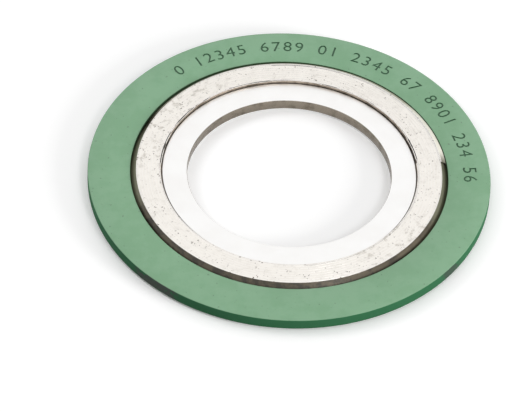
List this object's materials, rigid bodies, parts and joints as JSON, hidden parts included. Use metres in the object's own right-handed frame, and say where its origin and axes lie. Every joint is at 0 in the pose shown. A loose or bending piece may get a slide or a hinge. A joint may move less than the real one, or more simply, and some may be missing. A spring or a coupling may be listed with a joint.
{
  "type": "spiral wound gasket",
  "caption": "Flat round flange gasket: a spiral of V-shaped steel strip and graphite between a painted outer centering ring and a plain steel inner ring.",
  "frame": {"origin": "centre of the lower sealing face, where the bore's axis meets the surface the gasket lies on", "axes": "+Z along the bore's axis, out of the marked side of the centering ring; +Y from the bore's centre towards the middle of the stamped row"},
  "size_m": [0.1112, 0.1112, 0.0045],
  "materials": {
    "ring_paint": "satin green paint on carbon steel plate",
    "strip_steel": "stainless strip, cut edges ground bright",
    "graphite": "pressed flexible graphite with a metallic sheen",
    "ring_steel": "stainless plate, fine turned finish"
  },
  "bodies": {
    "root": {"centering_ring": "ring_paint", "winding_strip": "strip_steel", "graphite_filler": "graphite", "inner_ring": "ring_steel"}
  },
  "joints": []
}
